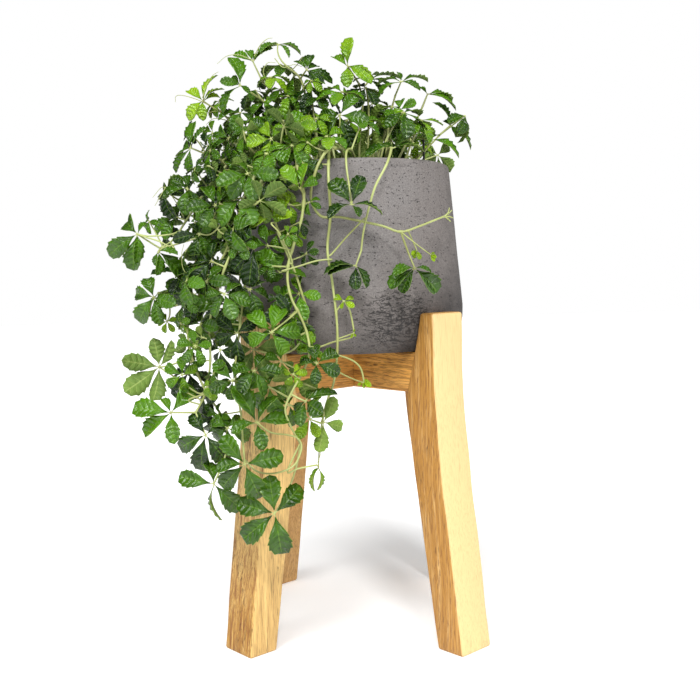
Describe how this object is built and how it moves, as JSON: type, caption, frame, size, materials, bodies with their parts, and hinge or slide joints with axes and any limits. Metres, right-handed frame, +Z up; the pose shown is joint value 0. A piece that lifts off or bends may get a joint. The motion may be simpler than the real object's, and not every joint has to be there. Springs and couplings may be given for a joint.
{
  "type": "potted miniature grape ivy",
  "caption": "Trailing vine with small palmate leaves, spilling over one side of a tapered grey-brown clay pot that stands on a wooden plant stand with splayed legs and crossed bars.",
  "frame": {"origin": "middle of the bounding box's underside, on the floor that the stand's legs rest on", "axes": "+Z up; -Y towards the viewer of the picture, the side where most vines hang; +X to that viewer's right; the legs lie at 45 degrees to X and Y"},
  "size_m": [0.3051, 0.2871, 0.5045],
  "materials": {
    "clay": "matte",
    "nursery_plastic": "satin",
    "soil": "matte",
    "leg_wood": "satin",
    "bar_wood": "satin",
    "foliage": "satin"
  },
  "bodies": {
    "root": {"pot": "clay", "grow_pot": "nursery_plastic", "pot_strap": "nursery_plastic", "soil": "soil", "leg_back_right": "leg_wood", "leg_back_left": "leg_wood", "leg_front_left": "leg_wood", "leg_front_right": "leg_wood", "cross_bar_a": "bar_wood", "cross_bar_b": "bar_wood", "vine_far_left": "foliage", "vine_left_shoulder": "foliage", "vine_left_middle": "foliage", "vine_long_left": "foliage", "vine_lower_left": "foliage", "vine_leg": "foliage", "vine_front_bright": "foliage", "vine_front_cross": "foliage", "vine_front_middle": "foliage", "vine_rim_right": "foliage", "vine_side_shoot": "foliage", "vine_rim_middle": "foliage", "vine_top_far_left": "foliage", "vine_top_left": "foliage", "vine_top_arch": "foliage", "vine_top_tall": "foliage", "vine_top_curl": "foliage", "vine_top_middle": "foliage", "vine_top_right": "foliage", "vine_right_high": "foliage", "vine_right_far": "foliage", "vine_back_1": "foliage", "vine_back_2": "foliage", "vine_back_3": "foliage", "vine_back_4": "foliage", "vine_back_5": "foliage", "vine_back_6": "foliage", "vine_back_7": "foliage", "vine_back_8": "foliage"}
  },
  "joints": []
}
